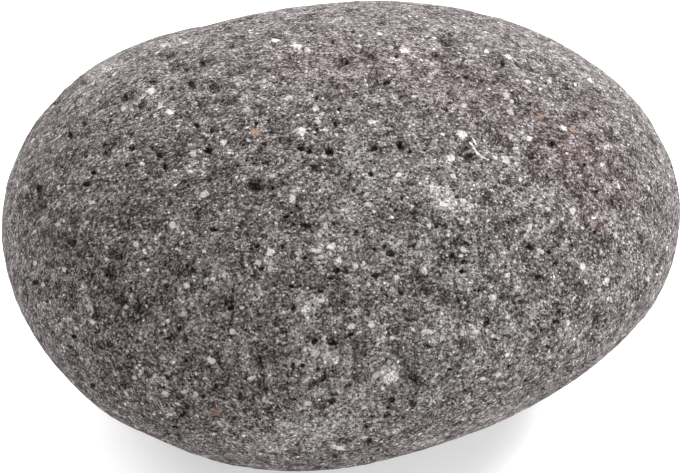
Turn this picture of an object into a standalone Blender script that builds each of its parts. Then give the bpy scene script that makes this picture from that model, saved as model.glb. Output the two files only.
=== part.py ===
"""Aquarium pebble: one water-worn stone of grey, finely pitted volcanic rock.

Run it with blender --background --python part.py, or from Blender's text editor.
Units are metres and +Z is up. The stone lies on its broad underside: its foot, the small flat
that it rests on, is at z = 0. Its long axis is X, and its height is its shortest side.

The stone is a slightly three-cornered ellipsoid. A direction from its middle, as a unit vector,
stands for each point of its surface, so that points can be spread, spaced and triangulated on
a sphere and only then set out on the stone.
"""

import math
import random

import bmesh
import bpy
from mathutils import Vector, geometry, noise

MM = 0.001

# The ellipsoid that the stone is worn from.
HALF_LENGTH = 33.6 * MM
HALF_WIDTH = 28.7 * MM
HALF_HEIGHT = 18.2 * MM
HALF_AXES = Vector((HALF_LENGTH, HALF_WIDTH, HALF_HEIGHT))

# How far above the lowest point of the body the foot is worn flat, how many sides it has,
# and how steeply the underside rises from its edge.
FOOT_WEAR = 0.8 * MM
FOOT_SIDES = 24
FOOT_EDGE_RISE = 0.2

# The directions, in degrees, among which the lowest point is looked for.
UNDERSIDE_AZIMUTHS = range(0, 360, 12)
UNDERSIDE_ELEVATIONS = range(-90, -59, 3)

# Where the stone stands out from the ellipsoid (+) or is worn back from it (-):
# azimuth and elevation of the middle in degrees, width in degrees, height as a share of the radius.
SWELLS = (
    (132, 25, 24, 0.034),  # back left shoulder
    (-119, -38, 26, 0.040),  # belly, low at the front
    (0, 9, 28, 0.012),  # blunt right end
    (92, 38, 27, -0.036),  # worn brow along the back of the top
    (-178, -11, 26, -0.030),  # worn left end
    (-66, -33, 26, -0.025),  # worn front right flank
    (-138, -33, 8, -0.012),  # short flat at the lower left
    (106, 36, 8, -0.008),  # shallow dip in the brow
    (-27, -11, 14, 0.008),  # low front right corner
    (128, 27, 10, 0.006),  # crest of the shoulder
    (38, -20, 22, -0.022),  # worn back right flank
    (160, -34, 24, 0.018),  # low back left bulge
)

# Gentle unevenness all over: height and distance between the waves.
WAVES = ((0.14 * MM, 9.0 * MM), (0.05 * MM, 3.6 * MM))

# Surface points away from the pits: how many, and how far each is shifted at random,
# as a share of the distance between them.
POINT_COUNT = 1500
POINT_SHIFT = 0.22
END_THINNING = 0.3  # 0 crowds the points on the sides and ends, 1 on the top and the underside

# Pits, which are burst gas bubbles. Each is a ring at the rim and a bottom, and the wide ones
# have a ring on the wall too.
RIM_POINTS = 6
WALL_POINTS = 5
WALL_REACH = 0.58  # radius of the wall's ring as a share of the rim's
WALL_DEPTH = 0.8  # depth of the wall's ring as a share of the pit's
WIDE_PIT = 0.33 * MM
PIT_CLEARANCE = 1.35  # no other point lies nearer than this many radii
PIT_COUNT = 400
PIT_RADII = (0.20 * MM, 0.50 * MM)
SMALL_PITS = 3  # the higher this power, the more of the pits are small
PIT_DEPTHS = (0.55, 0.9)  # as a share of the radius
PIT_STRETCH = (1.0, 1.5)
MAIN_PIT_DEPTH = 0.8
SEED = 11

# The camera that took the photograph: azimuth and elevation in degrees, distance, pixels to a
# radian, which makes a pixel 0.098 mm wide at the stone, and the point, from the stone's middle,
# that it shows at this pixel.
VIEW_AZIMUTH = -15
VIEW_ELEVATION = 38
VIEW_DISTANCE = 400 * MM
PIXELS_PER_RADIAN = 4078
AIM_PIXEL = (343.4, 219.3)
AIM = Vector((0.55 * MM, 0, 0.4 * MM))
SIGHT_STEPS = 8  # how often the place where a line of sight meets the stone is made better

# The largest pits that the photograph shows, read off it by eye: pixel across and down, and radius.
MAIN_PITS = (
    (39, 189, 0.34 * MM),
    (72, 242, 0.42 * MM),
    (87, 183, 0.40 * MM),
    (109, 275, 0.36 * MM),
    (115, 391, 0.24 * MM),
    (139, 307, 0.26 * MM),
    (152, 82, 0.32 * MM),
    (160, 154, 0.36 * MM),
    (168, 378, 0.34 * MM),
    (197, 126, 0.26 * MM),
    (202, 63, 0.32 * MM),
    (208, 150, 0.40 * MM),
    (214, 229, 0.28 * MM),
    (255, 125, 0.30 * MM),
    (293, 308, 0.32 * MM),
    (314, 167, 0.40 * MM),
    (314, 341, 0.26 * MM),
    (330, 152, 0.44 * MM),
    (332, 343, 0.40 * MM),
    (336, 270, 0.40 * MM),
    (345, 440, 0.36 * MM),
    (367, 426, 0.28 * MM),
    (388, 416, 0.36 * MM),
    (391, 253, 0.42 * MM),
    (391, 401, 0.38 * MM),
    (395, 352, 0.46 * MM),
    (412, 404, 0.34 * MM),
    (435, 55, 0.28 * MM),
    (453, 255, 0.32 * MM),
    (531, 156, 0.36 * MM),
)

SHARP_ANGLE = 35  # degrees between two faces above which their edge isn't smoothed
FINEST = 1e-9  # directions nearer than this, in degrees or on the flat map, are one and the same


def direction(azimuth, elevation):
    """The unit vector at an azimuth and an elevation in degrees."""
    a, e = math.radians(azimuth), math.radians(elevation)
    return Vector((math.cos(e) * math.cos(a), math.cos(e) * math.sin(a), math.sin(e)))


def scaled(a, b):
    return Vector((a.x * b.x, a.y * b.y, a.z * b.z))


def divided(a, b):
    return Vector((a.x / b.x, a.y / b.y, a.z / b.z))


def outward(u):
    """The ellipsoid's normal where it is met by direction u."""
    return divided(u, HALF_AXES).normalized()


def ellipsoid_area():
    """The ellipsoid's area, by Thomsen's formula."""
    power = 1.6075  # Thomsen's
    sides = ((HALF_LENGTH, HALF_WIDTH), (HALF_LENGTH, HALF_HEIGHT), (HALF_WIDTH, HALF_HEIGHT))
    return 4 * math.pi * (sum((a * b) ** power for a, b in sides) / len(sides)) ** (1 / power)


def body_point(u):
    """The point of the unpitted stone in direction u, from the stone's middle."""
    swell = 0.0
    for azimuth, elevation, width, height in SWELLS:
        angle = math.degrees(u.angle(direction(azimuth, elevation)))
        swell += height * math.exp(-((angle / width) ** 2))
    point = scaled(u, HALF_AXES) * (1 + swell)
    for height, spacing in WAVES:
        point += outward(u) * height * noise.noise(point / spacing)
    return point


def foot_height():
    """The height of the foot's plane, from the stone's middle."""
    underside = [
        body_point(direction(azimuth, elevation)).z
        for azimuth in UNDERSIDE_AZIMUTHS
        for elevation in UNDERSIDE_ELEVATIONS
    ]
    return min(underside) + FOOT_WEAR


def foot_ring(foot):
    """The directions in which the stone's skin meets the plane of its foot, each found by bisection."""
    ring = []
    for side in range(FOOT_SIDES):
        azimuth = 360 * side / FOOT_SIDES
        low, high = -90.0, 0.0
        while high - low > FINEST:
            middle = (low + high) / 2
            if body_point(direction(azimuth, middle)).z < foot:
                low = middle
            else:
                high = middle
        ring.append(direction(azimuth, high))
    return ring


class Pit:
    """A round or slightly drawn-out pit, with its long side turned by an angle."""

    def __init__(self, u, radius, depth, stretch=1.0, turn=0.0):
        self.u, self.radius, self.depth = u, radius, depth
        self.middle = scaled(u, HALF_AXES)
        normal = outward(u)
        side = normal.orthogonal().normalized()
        self.long = side * math.cos(turn) + normal.cross(side) * math.sin(turn)
        self.short = normal.cross(self.long)
        self.stretch = math.sqrt(stretch)

    def ring(self, count, reach):
        """Directions of the points around the pit at this share of its radius."""
        for step in range(count):
            angle = 2 * math.pi * step / count
            along = self.long * math.cos(angle) * self.stretch
            across = self.short * math.sin(angle) / self.stretch
            point = self.middle + (along + across) * self.radius * reach
            yield divided(point, HALF_AXES).normalized()

    def clearance(self):
        return PIT_CLEARANCE * self.stretch * self.radius

    def distance(self, u):
        return (scaled(u, HALF_AXES) - self.middle).length


def seen(x, y):
    """The direction, from the stone's middle, of the point that the camera sees at this pixel."""
    a, e = math.radians(VIEW_AZIMUTH), math.radians(VIEW_ELEVATION)
    back = Vector((math.sin(a) * math.cos(e), -math.cos(a) * math.cos(e), math.sin(e)))
    right = Vector((math.cos(a), math.sin(a), 0))
    across, down = x - AIM_PIXEL[0], y - AIM_PIXEL[1]
    sight = (right * across - back.cross(right) * down) / PIXELS_PER_RADIAN - back

    # Measured in the ellipsoid's half axes, the stone is nearly a ball of radius 1. The line of
    # sight meets it before nearest, which is the line's point nearest to the ball's middle.
    start, step = divided(AIM + back * VIEW_DISTANCE, HALF_AXES), divided(sight, HALF_AXES)
    nearest = start - step * (start.dot(step) / step.length_squared)
    radius = 1.0
    for _ in range(SIGHT_STEPS):
        before = math.sqrt(max(radius**2 - nearest.length_squared, 0)) / step.length
        u = (nearest - step * before).normalized()
        radius = divided(body_point(u), HALF_AXES).length
    return u


def main_pits():
    for x, y, radius in MAIN_PITS:
        yield Pit(seen(x, y), radius, radius * MAIN_PIT_DEPTH)


def scattered_pits(is_free):
    """The main pits and then the scattered ones, none of which touch."""
    draw = random.Random(SEED)
    small, large = PIT_RADII
    pits = list(main_pits())
    while len(pits) < PIT_COUNT:
        u = Vector([draw.gauss(0, 1) / axis for axis in HALF_AXES]).normalized()
        radius = small + (large - small) * draw.random() ** SMALL_PITS
        depth = radius * draw.uniform(*PIT_DEPTHS)
        pit = Pit(u, radius, depth, draw.uniform(*PIT_STRETCH), draw.uniform(0, math.pi))
        apart = all(pit.distance(other.u) > pit.clearance() + other.clearance() for other in pits)
        if apart and is_free(u, 2 * pit.clearance()):
            pits.append(pit)
    return pits


def even_directions(is_free, pits):
    """Directions spread evenly over the stone between the pits, each shifted a little at random."""
    draw = random.Random(SEED)
    spacing = math.sqrt(ellipsoid_area() / POINT_COUNT)
    golden_angle = math.pi * (3 - math.sqrt(5))
    thinning = Vector([axis**-END_THINNING for axis in HALF_AXES])
    for step in range(POINT_COUNT):
        z = 1 - (2 * step + 1) / POINT_COUNT
        around = golden_angle * step
        u = Vector((math.cos(around), math.sin(around), 0)) * math.sqrt(1 - z * z) + Vector((0, 0, z))
        u = scaled(u, thinning).normalized()
        shift = Vector([draw.gauss(0, POINT_SHIFT * spacing) for _ in HALF_AXES])
        u = (u + divided(shift, HALF_AXES)).normalized()
        if is_free(u, spacing / 2) and all(pit.distance(u) > pit.clearance() for pit in pits):
            yield u


def flattened(u):
    """The direction's place on a flat map of the sphere, seen from opposite the foot."""
    return Vector((u.x, u.y)) / (1 + u.z)


def stone_mesh():
    foot = foot_height()
    ring = foot_ring(foot)

    def is_free(u, margin):
        """Whether the stone's point in direction u is this far from the foot."""
        return body_point(u).z > foot + FOOT_EDGE_RISE * margin

    directions = []
    points = []
    rims = []

    def add(u, depth=0.0):
        directions.append(u)
        points.append(body_point(u) - outward(u) * depth)

    for u in ring:
        add(u)
    pits = scattered_pits(is_free)
    for pit in pits:
        add(pit.u, pit.depth)
        if pit.radius > WIDE_PIT:
            for u in pit.ring(WALL_POINTS, WALL_REACH):
                add(u, pit.depth * WALL_DEPTH)
        first = len(points)
        for step, u in enumerate(pit.ring(RIM_POINTS, 1.0)):
            add(u)
            rims.append((first + step, first + (step + 1) % RIM_POINTS))
    for u in even_directions(is_free, pits):
        add(u)

    # The triangles are found on the flat map, around the foot's outline, and keep the pits' rims
    # as edges. origins gives, for each of their corners, the points that it was made from.
    foot_outline = list(range(FOOT_SIDES))
    flat_map = [flattened(u) for u in directions]
    outside_the_foot = 1
    _, _, triangles, origins, _, _ = geometry.delaunay_2d_cdt(
        flat_map, rims, [foot_outline], outside_the_foot, FINEST
    )

    mesh = bmesh.new()
    corners = [mesh.verts.new(point - Vector((0, 0, foot))) for point in points]
    for triangle in triangles:
        mesh.faces.new([corners[origins[i][0]] for i in triangle])
    mesh.faces.new([corners[i] for i in reversed(foot_outline)])
    bmesh.ops.recalc_face_normals(mesh, faces=mesh.faces)
    for i in foot_outline:
        corners[i].co.z = 0
    return mesh


def centre(mesh):
    """Moves the mesh so that the middle of its length and width is over the origin."""
    for axis in (0, 1):
        places = [corner.co[axis] for corner in mesh.verts]
        middle = (min(places) + max(places)) / 2
        for corner in mesh.verts:
            corner.co[axis] -= middle


def stone_material():
    material = bpy.data.materials.new("grey_stone")
    material.use_nodes = True
    shader = material.node_tree.nodes["Principled BSDF"]
    shader.inputs["Base Color"].default_value = (0.16, 0.143, 0.142, 1)
    shader.inputs["Roughness"].default_value = 0.85
    shader.inputs["Metallic"].default_value = 0
    return material


def main():
    for obj in list(bpy.data.objects):
        bpy.data.objects.remove(obj)
    mesh = stone_mesh()
    centre(mesh)
    data = bpy.data.meshes.new("pebble")
    mesh.to_mesh(data)
    mesh.free()
    data.materials.append(stone_material())
    data.shade_smooth()
    data.set_sharp_from_angle(angle=math.radians(SHARP_ANGLE))
    pebble = bpy.data.objects.new("pebble", data)
    bpy.context.scene.collection.objects.link(pebble)


main()
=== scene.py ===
"""Aquarium pebble: the skin, the finish and the studio of one water-worn stone of pitted volcanic rock.

The stone is one piece, pebble_skin. It has the form of the solid that it stands for, and adds what
is too fine for that: thousands of small pits, angular crystals, and a rough grain.
A direction from the stone's middle, as a unit vector u, stands for each point of its surface.
"""

import math
import random

import bpy
import numpy as np
from mathutils import Matrix, Vector, geometry, kdtree, noise


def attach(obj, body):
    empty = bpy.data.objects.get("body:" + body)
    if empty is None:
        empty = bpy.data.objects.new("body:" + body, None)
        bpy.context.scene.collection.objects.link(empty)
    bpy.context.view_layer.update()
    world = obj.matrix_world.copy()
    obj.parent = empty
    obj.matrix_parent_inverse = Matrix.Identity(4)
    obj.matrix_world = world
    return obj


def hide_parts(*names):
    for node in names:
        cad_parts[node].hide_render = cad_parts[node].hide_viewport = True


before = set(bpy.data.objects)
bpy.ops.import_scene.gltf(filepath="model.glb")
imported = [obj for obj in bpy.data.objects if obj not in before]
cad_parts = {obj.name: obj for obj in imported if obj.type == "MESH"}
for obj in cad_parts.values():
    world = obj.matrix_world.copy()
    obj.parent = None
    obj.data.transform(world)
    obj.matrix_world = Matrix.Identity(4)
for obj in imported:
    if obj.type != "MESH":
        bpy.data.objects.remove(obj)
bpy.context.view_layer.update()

MM = 0.001

# ---------------- the form, as in the solid

HALF_LENGTH = 33.6 * MM
HALF_WIDTH = 28.7 * MM
HALF_HEIGHT = 18.2 * MM
HALF_AXES = np.array((HALF_LENGTH, HALF_WIDTH, HALF_HEIGHT))
FOOT_WEAR = 0.8 * MM
FOOT_EDGE_RISE = 0.2
UNDERSIDE_AZIMUTHS = range(0, 360, 12)
UNDERSIDE_ELEVATIONS = range(-90, -59, 3)

# Azimuth and elevation of the middle in degrees, width in degrees, height as a share of the radius.
SWELLS = (
    (132, 25, 24, 0.034),  # back left shoulder
    (-119, -38, 26, 0.040),  # belly, low at the front
    (0, 9, 28, 0.012),  # blunt right end
    (92, 38, 27, -0.036),  # worn brow along the back of the top
    (-178, -11, 26, -0.030),  # worn left end
    (-66, -33, 26, -0.025),  # worn front right flank
    (-138, -33, 8, -0.012),  # short flat at the lower left
    (106, 36, 8, -0.008),  # shallow dip in the brow
    (-27, -11, 14, 0.008),  # low front right corner
    (128, 27, 10, 0.006),  # crest of the shoulder
    (38, -20, 22, -0.022),  # worn back right flank
    (160, -34, 24, 0.018),  # low back left bulge
)
WAVES = ((0.14 * MM, 9.0 * MM), (0.05 * MM, 3.6 * MM))
END_THINNING = 0.3
BOX_DIRECTIONS = 20000  # how many are tried to find the body's box

PIT_COUNT = 370
PIT_SIZES = (0.20 * MM, 0.50 * MM, 3)  # least and largest radius, and a power: the higher, the smaller most
PIT_DEPTHS = (0.55, 0.9)  # as a share of the radius
PIT_STRETCH = (1.0, 1.5)
PIT_CLEARANCE = 1.35
SEED = 11

# ---------------- the camera

PICTURE_WIDTH, PICTURE_HEIGHT = 680, 473  # pixels
VIEW_AZIMUTH = -15  # degrees
VIEW_ELEVATION = 38
VIEW_DISTANCE = 400 * MM
PIXELS_PER_RADIAN = 4078  # 0.098 mm to a pixel at the stone
SENSOR_WIDTH = 36  # mm
SIGHT_STEPS = 8  # how often the place where a line of sight meets the stone is made better
STONE_MIDDLE = Vector((0, 0, 17.8 * MM))
STONE_MIDDLE_PIXEL = (343.4, 219.3)


def view_axes():
    """The camera's right, up and back."""
    a, e = math.radians(VIEW_AZIMUTH), math.radians(VIEW_ELEVATION)
    back = Vector((math.sin(a) * math.cos(e), -math.cos(a) * math.cos(e), math.sin(e)))
    right = Vector((math.cos(a), math.sin(a), 0))
    return right, back.cross(right), back


RIGHT, UP, BACK = view_axes()
PIXEL = VIEW_DISTANCE / PIXELS_PER_RADIAN  # its size at the stone's middle
CAMERA_PLACE = (
    STONE_MIDDLE
    + BACK * VIEW_DISTANCE
    - RIGHT * (STONE_MIDDLE_PIXEL[0] - PICTURE_WIDTH / 2) * PIXEL
    + UP * (STONE_MIDDLE_PIXEL[1] - PICTURE_HEIGHT / 2) * PIXEL
)


def make_camera():
    data = bpy.data.cameras.new("camera")
    data.sensor_width = SENSOR_WIDTH
    data.lens = PIXELS_PER_RADIAN * SENSOR_WIDTH / PICTURE_WIDTH
    data.clip_start = 10 * MM
    camera = bpy.data.objects.new("camera", data)
    turn = Matrix((RIGHT, UP, BACK)).transposed().to_4x4()
    camera.matrix_world = Matrix.Translation(CAMERA_PLACE) @ turn
    bpy.context.scene.collection.objects.link(camera)
    bpy.context.scene.camera = camera


# ---------------- the body


def unit(vectors):
    return vectors / np.linalg.norm(vectors, axis=-1, keepdims=True)


def direction(azimuth, elevation):
    a, e = math.radians(azimuth), math.radians(elevation)
    return np.array((math.cos(e) * math.cos(a), math.cos(e) * math.sin(a), math.sin(e)))


def outward(u):
    """The ellipsoid's normal where it is met by direction u."""
    return unit(u / HALF_AXES)


def waviness(points, spacing):
    """Smooth noise from -1 to 1 at each of these points."""
    return np.array([noise.noise(point) for point in (points / spacing).tolist()])


def body_points(u):
    """The points of the unpitted stone in these directions, from the stone's middle."""
    swell = np.zeros(len(u))
    for azimuth, elevation, width, height in SWELLS:
        angle = np.degrees(np.arccos(np.clip(u @ direction(azimuth, elevation), -1, 1)))
        swell += height * np.exp(-((angle / width) ** 2))
    points = u * HALF_AXES * (1 + swell)[:, None]
    for height, spacing in WAVES:
        points += outward(u) * height * waviness(points, spacing)[:, None]
    return points


def even_directions(count):
    """Directions spread evenly over the stone."""
    golden_angle = math.pi * (3 - math.sqrt(5))
    step = np.arange(count)
    z = 1 - (2 * step + 1) / count
    r = np.sqrt(1 - z * z)
    u = np.stack([r * np.cos(golden_angle * step), r * np.sin(golden_angle * step), z], 1)
    return unit(u * HALF_AXES**-END_THINNING)


def foot_height():
    """The height of the foot's plane, from the stone's middle."""
    underside = [
        direction(azimuth, elevation)
        for azimuth in UNDERSIDE_AZIMUTHS
        for elevation in UNDERSIDE_ELEVATIONS
    ]
    return body_points(np.array(underside))[:, 2].min() + FOOT_WEAR


FOOT = foot_height()


def place_of_middle():
    """The stone's middle when its length and width are centred on the origin and its foot is at z = 0."""
    points = body_points(even_directions(BOX_DIRECTIONS))
    middle = (points.min(0) + points.max(0)) / 2
    return np.array((-middle[0], -middle[1], -FOOT))


MIDDLE = place_of_middle()


def seen(x, y):
    """The direction u of the unpitted stone's point that the camera sees at this pixel."""
    across, down = x - PICTURE_WIDTH / 2, y - PICTURE_HEIGHT / 2
    sight = (RIGHT * across - UP * down) / PIXELS_PER_RADIAN - BACK

    # Measured in the ellipsoid's half axes, the stone is nearly a ball of radius 1. The line of
    # sight meets it before nearest, which is the line's point nearest to the ball's middle.
    start, step = (np.array(CAMERA_PLACE) - MIDDLE) / HALF_AXES, np.array(sight) / HALF_AXES
    nearest = start - step * (start @ step) / (step @ step)
    radius = 1.0
    for _ in range(SIGHT_STEPS):
        before = math.sqrt(max(radius**2 - nearest @ nearest, 0)) / math.sqrt(step @ step)
        u = unit(nearest - step * before)
        radius = np.linalg.norm(body_points(u[None])[0] / HALF_AXES)
    return u


# ---------------- what is seen on it

# White crystals: pixel, half length and half width in pixels, brightness in percent, and turn in
# degrees if there is any.
CRYSTALS = (
    # upper left
    (151, 91, 4.2, 3.9, 95), (170, 112, 5.5, 2.8, 95, 10), (160.5, 105.5, 3.5, 2.8, 75, 90),
    (156, 116, 3.5, 0.9, 80, -20), (124, 108.5, 3.6, 3.2, 65), (114, 73.3, 2.6, 2.4, 90),
    (142.2, 164, 2.8, 2.4, 80), (193.3, 154, 4, 3, 65, 100), (178.3, 125.5, 3.5, 2, 55, 90),
    (189.5, 144, 2.8, 1.5, 60), (166.7, 72.8, 2.5, 2, 60), (164.4, 44.5, 5, 3, 40),
    (184.5, 43, 3.5, 2.2, 60), (92.8, 83, 2.5, 2, 60), (85.5, 94, 4, 1.5, 60), (131, 109.5, 2, 1.5, 55),
    (213.9, 92.8, 2.5, 2, 65, 90), (59, 187.3, 2.4, 1.9, 85, 90), (25, 186, 2, 1.5, 60),
    (89, 177, 3, 0.8, 65), (89, 190, 4, 1, 65, -35),
    # top
    (276, 37.8, 4.5, 2.7, 85), (297.5, 46.5, 5, 2.3, 95, 5), (307.8, 49.3, 3.5, 2, 50),
    (286.7, 32.2, 3, 2, 40), (404, 49.4, 6.5, 3, 95, 45), (414, 56, 5, 1.6, 70, 45), (391, 45.6, 3, 2, 60),
    (359.4, 46, 2.5, 2, 50), (380, 34, 3, 1.5, 55), (434.4, 38, 2.5, 2, 70), (487.2, 51, 2.6, 2.3, 70, 90),
    (508.3, 57.2, 5, 2.3, 55), (432.2, 64.5, 2.5, 1.5, 55, 30), (496.7, 69, 2, 2, 40),
    (527.2, 81.7, 3, 2.3, 65), (548.3, 82, 3, 2.3, 50), (589.4, 81.2, 3.5, 2.6, 75, 20),
    # above the middle
    (300.6, 130, 6.5, 4, 100, 35), (316, 109, 4, 3, 65, 20), (309.4, 104, 3.5, 1.4, 60, -70),
    (321.5, 114.4, 3.6, 1.4, 55, 10), (318.3, 121, 3, 2, 75, 10), (289, 97.8, 4, 2.5, 50, -10),
    (246.7, 109.5, 3.5, 2.5, 45, -40), (224, 141.7, 4, 2.5, 75, -10), (336.7, 133.3, 2, 1.5, 65),
    (371, 122, 3, 2.5, 40), (265, 81.7, 2, 2, 55), (237.8, 83, 2.2, 1.5, 55),
    (271.7, 175, 3.5, 2.5, 80, 30), (236.4, 178, 2, 1.6, 70), (292.8, 197.3, 4, 2.8, 70, 80),
    (204.5, 194, 5.5, 3.6, 70, -15), (191, 172, 3, 2, 65), (399, 174.4, 2.5, 2.2, 85),
    (389.4, 190, 3.5, 2.4, 60, 90), (368.9, 205, 4, 3, 65), (361, 209.4, 1.6, 1.4, 65),
    # right
    (462.6, 135, 5.6, 4, 85, 35), (443, 134.5, 1.9, 1.7, 85), (448.3, 124.5, 3, 0.9, 60, -60),
    (451.2, 158, 4.2, 3.9, 95, 90), (495.6, 158, 2.2, 2, 70), (505.6, 160, 5.5, 3.3, 85, 50),
    (516, 149, 3, 1.8, 70), (528.7, 139.5, 4, 3.3, 65, 100), (511, 136, 3, 2, 50, 90),
    (522.2, 132.3, 1.7, 1.6, 50), (464.4, 105.5, 3, 2.4, 40), (505.6, 94.5, 4, 3, 45, 50),
    (512.8, 99.2, 1.8, 1.6, 80), (510, 112.2, 4, 2.8, 40, 40), (562.9, 127.8, 4.6, 2.1, 85, 40),
    (602.8, 164.4, 2.2, 1.8, 60), (453.3, 176, 3, 2.4, 70, 20), (443.3, 204, 7.3, 2.2, 100, 22),
    (462.8, 200.8, 3.2, 2.8, 85), (470.6, 206, 3.6, 2.2, 70, 30), (476, 203.6, 2.4, 1.4, 75, 80),
    (462.2, 219, 1.8, 1.7, 75), (468, 221.4, 2, 1.5, 65, 20), (429, 225, 3, 2.7, 75, 90),
    (447.8, 235, 1.7, 1.5, 70), (463.9, 248.8, 3.3, 3, 70, 90), (461.7, 255.8, 2.5, 1.8, 65),
    (447.2, 256.2, 2.5, 0.9, 70, 70), (497.4, 236, 2, 1, 70, 45), (530, 227.6, 4, 2.4, 80, 90),
    (536.4, 225, 2, 1.2, 60, 90), (491, 256, 3, 2.4, 65), (541, 205.6, 2, 1.6, 60, 30),
    (548, 208.8, 4.5, 1.6, 65, 10), (572.8, 211.2, 4, 3, 80, 90), (520.6, 179, 3, 2, 70, 80),
    (551.7, 221.7, 2, 1.5, 65), (562.2, 219, 1.8, 1.5, 65), (507.2, 276.1, 4, 2.9, 100, 110),
    (424.4, 270.5, 4, 2.7, 75, 90), (582.8, 265.6, 5, 2.4, 75, 95), (600.6, 251, 4, 1.4, 60, 65),
    (606.7, 281, 3.5, 2.4, 75, 100), (598.9, 290, 3, 2.4, 55, 90), (585.8, 281.7, 2.5, 1.6, 70, 90),
    (451, 283, 2.3, 1.8, 65, 90), (492.8, 297.3, 4, 3.4, 80, 60), (542.2, 252.2, 2.5, 2.4, 60),
    (574, 298.3, 2.5, 1.1, 65, -50), (615.6, 235, 3.5, 2, 45, 80), (507.8, 317, 3, 2.4, 85, 60),
    (647, 278, 3.5, 2.6, 60, 90), (634, 212, 2, 2, 60),
    # middle
    (331.7, 245.8, 4.2, 3.9, 90, 90), (270.6, 251.7, 5, 4, 85, 100), (298.3, 252.9, 3.5, 2.5, 60),
    (315.6, 251, 4.2, 2.6, 80, 30), (321.6, 256.4, 3.4, 1.9, 70, 20), (310, 248.8, 2.6, 0.8, 65, 40),
    (338.9, 261.2, 4.3, 2.2, 90, 95), (258.3, 262.2, 3.5, 2.8, 75), (270.6, 269.5, 4.3, 2.6, 60, 80),
    (292.2, 270, 3.5, 1.2, 80, 65), (355.6, 265.6, 3, 2.9, 60), (363.9, 262.8, 2, 1.6, 65, 90),
    (326.4, 226.7, 2.5, 2.2, 55, 90), (318.9, 232, 4, 1.7, 60, 90), (320.8, 267, 4.5, 1.5, 50, 75),
    (396.8, 277.3, 2.6, 2.2, 75), (368.3, 284, 2.2, 2, 60), (321.6, 299.6, 3.4, 3, 85, 90),
    (312.6, 295, 3, 1.8, 60), (252.2, 284.5, 3, 1.8, 50, -60), (241.7, 307.8, 3, 1.5, 55),
    # left
    (57.8, 224.5, 2.8, 2.2, 70, -30), (70, 229.3, 2, 1.5, 65, 60), (86.8, 222.3, 3.5, 2, 50),
    (92.2, 202.3, 4, 2.4, 50), (171.7, 226, 4.5, 3.3, 85, 90), (177.4, 231.6, 2.4, 2.2, 50),
    (182.8, 233.4, 2.8, 2.5, 100, 90), (135.6, 244.4, 3.5, 3, 65, 90), (145, 253.4, 2, 1.7, 85),
    (106.7, 259.4, 2.3, 1.7, 80), (106.7, 247.8, 2, 1, 80, 30), (64.4, 269, 2.6, 2.4, 85),
    (35, 263.3, 2.5, 2, 55, 90), (139.6, 263, 3.5, 1.5, 65, 60), (176.7, 249.2, 1.6, 1.5, 75),
    (204, 251.8, 2.5, 2, 60, 90), (187.2, 285.6, 3.3, 2.7, 75, 90), (212.8, 279, 2.6, 1.8, 75),
    (209, 293.3, 4, 1.3, 50, -40), (125, 306.8, 2.3, 2.2, 80), (146.7, 306, 2, 1.5, 65, 90),
    (183.9, 313.3, 3, 2, 55, 90), (43.3, 284, 2.5, 2.4, 45),
    # lower left
    (232.8, 332.8, 4.5, 3, 80, 70), (211.7, 360.2, 4.4, 4, 85, 30), (92.3, 322.2, 3, 2, 70, 30),
    (96.6, 327.4, 2.5, 0.8, 60, 50), (77.3, 328, 2.5, 2, 55), (139.3, 338.4, 2.5, 1.8, 60),
    (164.4, 394, 4, 3.4, 70), (157.3, 381.6, 3, 1, 55, 40), (184.4, 391.8, 4, 2.4, 50, -20),
    (195.6, 394.5, 3, 2.4, 55, 90), (168.3, 415.7, 4, 2, 60), (154, 414, 1.5, 1.3, 75),
    (197, 415.6, 2.2, 1, 70, 45), (205, 378.4, 3, 1.5, 65), (134.5, 377.7, 2.5, 2.4, 55),
    (113.2, 387, 3.2, 1.1, 60, 60), (125.5, 392.5, 4, 1, 60, 50), (176.8, 406, 4, 1.2, 60, 40),
    (163.3, 358.4, 4, 1.5, 50), (251, 378.3, 4, 2.5, 85, -15),
    # lower middle and right
    (351.2, 326.6, 4, 3.7, 90), (371.7, 325, 3.8, 3.2, 100, 90), (359.4, 333.4, 2.8, 2.3, 80, 90),
    (392.8, 337.2, 2.5, 2.2, 65), (413.1, 329.5, 2, 1.9, 90), (323.9, 337.6, 4, 1.5, 70, -30),
    (305, 349.4, 2.5, 2, 80), (315.6, 353, 4.5, 3, 55), (326.3, 355.2, 4, 2.4, 65, -35),
    (309, 377.5, 1.6, 1.5, 70), (308.3, 402.3, 4, 3.4, 70, -30), (375.2, 375.2, 4, 2.9, 55),
    (382.8, 387.8, 1.9, 1.8, 95), (365, 408.4, 3.5, 2.4, 60, 30), (407.2, 410, 2, 1, 70, 45),
    (340.2, 448.3, 5, 2.8, 85, 15), (315, 437.9, 2, 1.5, 70), (365.6, 438, 3, 1.5, 60, -20),
    (427, 332.2, 6.3, 2.9, 75, 5), (453.9, 333.8, 3.5, 1.4, 75, 60), (461.7, 333.4, 3, 1.9, 65, 80),
    (441.8, 339.2, 2.5, 2, 75), (475, 332.3, 3.3, 2.5, 75), (487.2, 331, 2.5, 1.5, 65, 90),
    (492.8, 336.2, 2.5, 1.6, 75), (508.3, 354.3, 4.6, 1.9, 75, -50), (498.9, 376, 3.5, 2.6, 75, 10),
    (482.7, 378.7, 2.3, 1.6, 80, -30), (436.7, 375, 1.6, 1.3, 70), (432.4, 381.7, 2, 1, 65),
    (536.2, 377.2, 2.5, 1.9, 65, -40), (532.8, 323, 3.5, 1.5, 60, 60), (538, 357, 1.3, 1.2, 70),
    (580, 335.6, 1.6, 1.5, 60), (566.4, 328, 2, 2, 50), (446.7, 434.3, 2.5, 1.8, 50, -40),
)

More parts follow.
